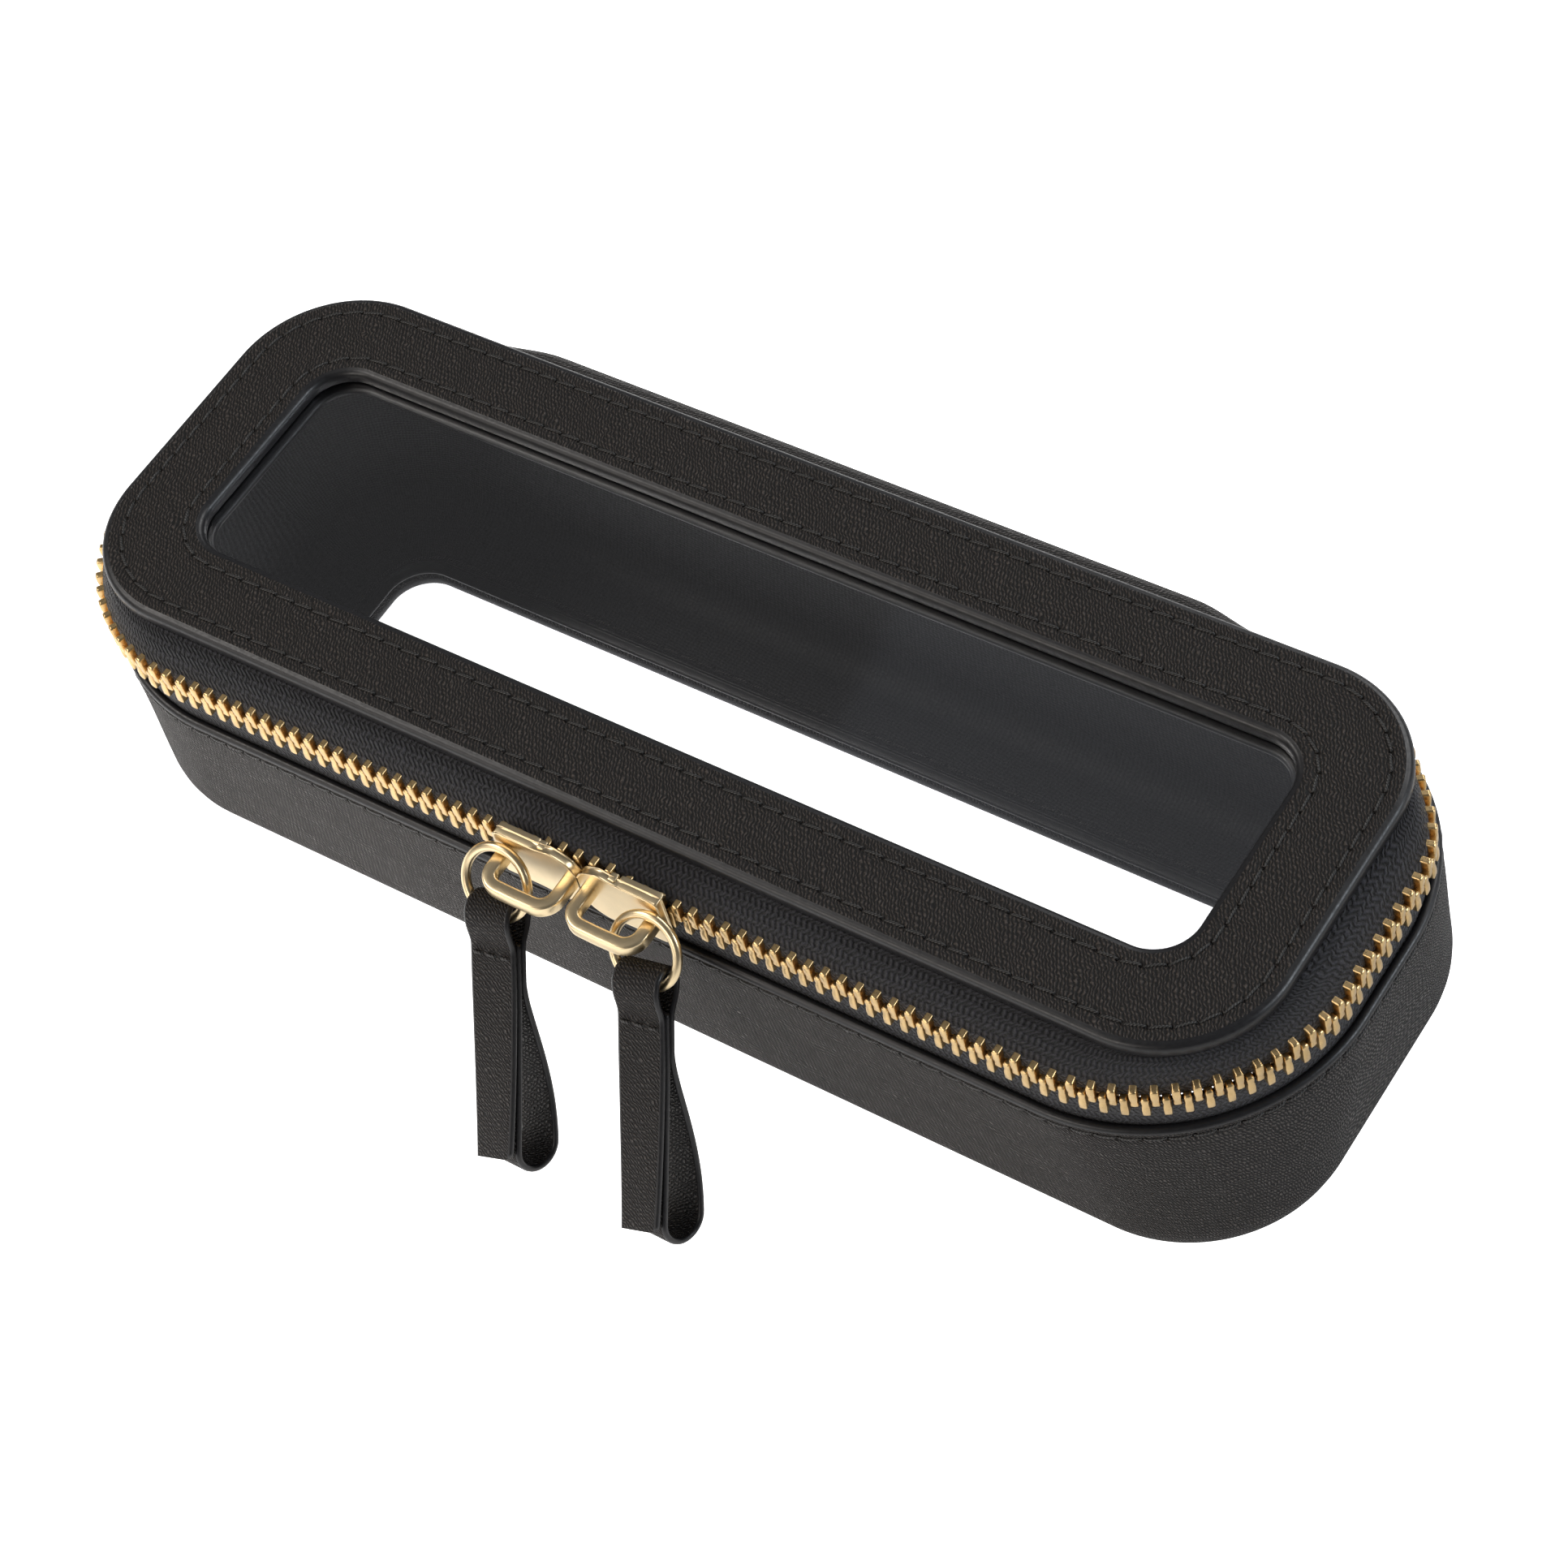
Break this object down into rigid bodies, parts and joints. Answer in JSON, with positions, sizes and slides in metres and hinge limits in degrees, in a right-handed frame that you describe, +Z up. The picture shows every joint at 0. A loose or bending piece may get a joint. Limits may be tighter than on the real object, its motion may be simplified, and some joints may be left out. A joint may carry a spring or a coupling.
{
  "type": "zipped jewellery case",
  "caption": "Long leather jewellery case with clear windows in lid and base, a metal zip with paired sliders, and leather strap pulls; the lid hinges at the back.",
  "frame": {"origin": "middle of the outer box's underside, where the case stands on the table", "axes": "+X along the case, -Y the front where the zip sliders rest, +Y the hinge side, +Z up"},
  "size_m": [0.1908, 0.0976, 0.0472],
  "materials": {
    "saffiano_leather": "satin",
    "board": "matte",
    "lining": "matte",
    "clear_sheet": "gloss",
    "thread": "satin",
    "zip_tape": "matte",
    "zip_metal": "satin",
    "slider_metal": "satin"
  },
  "bodies": {
    "base": {"base_shell": "saffiano_leather", "base_stiffener_board": "board", "base_lining": "lining", "base_window": "clear_sheet", "base_window_stitching": "thread", "base_rim_stitching": "thread", "zip_tape_lower": "zip_tape", "zip_teeth_lower": "zip_metal", "hinge_gusset_lower": "saffiano_leather"},
    "lid": {"lid_top_panel": "saffiano_leather", "lid_stiffener_board": "board", "lid_lining_frame": "lining", "lid_window": "clear_sheet", "lid_edge_stitching": "thread", "lid_window_stitching": "thread", "zip_tape_upper": "zip_tape", "zip_teeth_upper": "zip_metal", "hinge_gusset_upper": "saffiano_leather"},
    "left_slider": {"left_slider_body": "slider_metal", "left_slider_crown": "slider_metal"},
    "right_slider": {"right_slider_body": "slider_metal", "right_slider_crown": "slider_metal"},
    "left_ring": {"left_jump_ring": "slider_metal"},
    "right_ring": {"right_jump_ring": "slider_metal"},
    "left_pull": {"left_pull_strap": "saffiano_leather", "left_pull_stitching": "thread"},
    "right_pull": {"right_pull_strap": "saffiano_leather", "right_pull_stitching": "thread"}
  },
  "joints": [
    {"name": "lid_hinge", "type": "hinge", "parent": "base", "child": "lid", "pos_m": [0, 0.04918, 0.0395], "axis": [-1, 0, 0], "range_deg": [0, 180]},
    {"name": "left_slider_travel", "type": "slide", "parent": "base", "child": "left_slider", "axis": [-1, 0, 0], "range_m": [0, 0.052], "deforming": ["zip_teeth_upper", "zip_teeth_lower"]},
    {"name": "right_slider_travel", "type": "slide", "parent": "base", "child": "right_slider", "axis": [1, 0, 0], "range_m": [0, 0.052]},
    {"name": "left_ring_swing", "type": "hinge", "parent": "left_slider", "child": "left_ring", "pos_m": [-0.0103, -0.02526, 0.0395], "axis": [0, 1, 0], "range_deg": [-8, 35]},
    {"name": "right_ring_swing", "type": "hinge", "parent": "right_slider", "child": "right_ring", "pos_m": [0.0129, -0.02526, 0.0395], "axis": [0, -1, 0], "range_deg": [-8, 35]},
    {"name": "left_pull_lift", "type": "hinge", "parent": "left_ring", "child": "left_pull", "pos_m": [-0.00915, -0.02875, 0.03431], "axis": [-0.9836, -0.1007, -0.1498], "range_deg": [0, 90]},
    {"name": "right_pull_lift", "type": "hinge", "parent": "right_ring", "child": "right_pull", "pos_m": [0.01405, -0.02875, 0.03431], "axis": [-0.9836, -0.1007, -0.1498], "range_deg": [0, 90]}
  ]
}
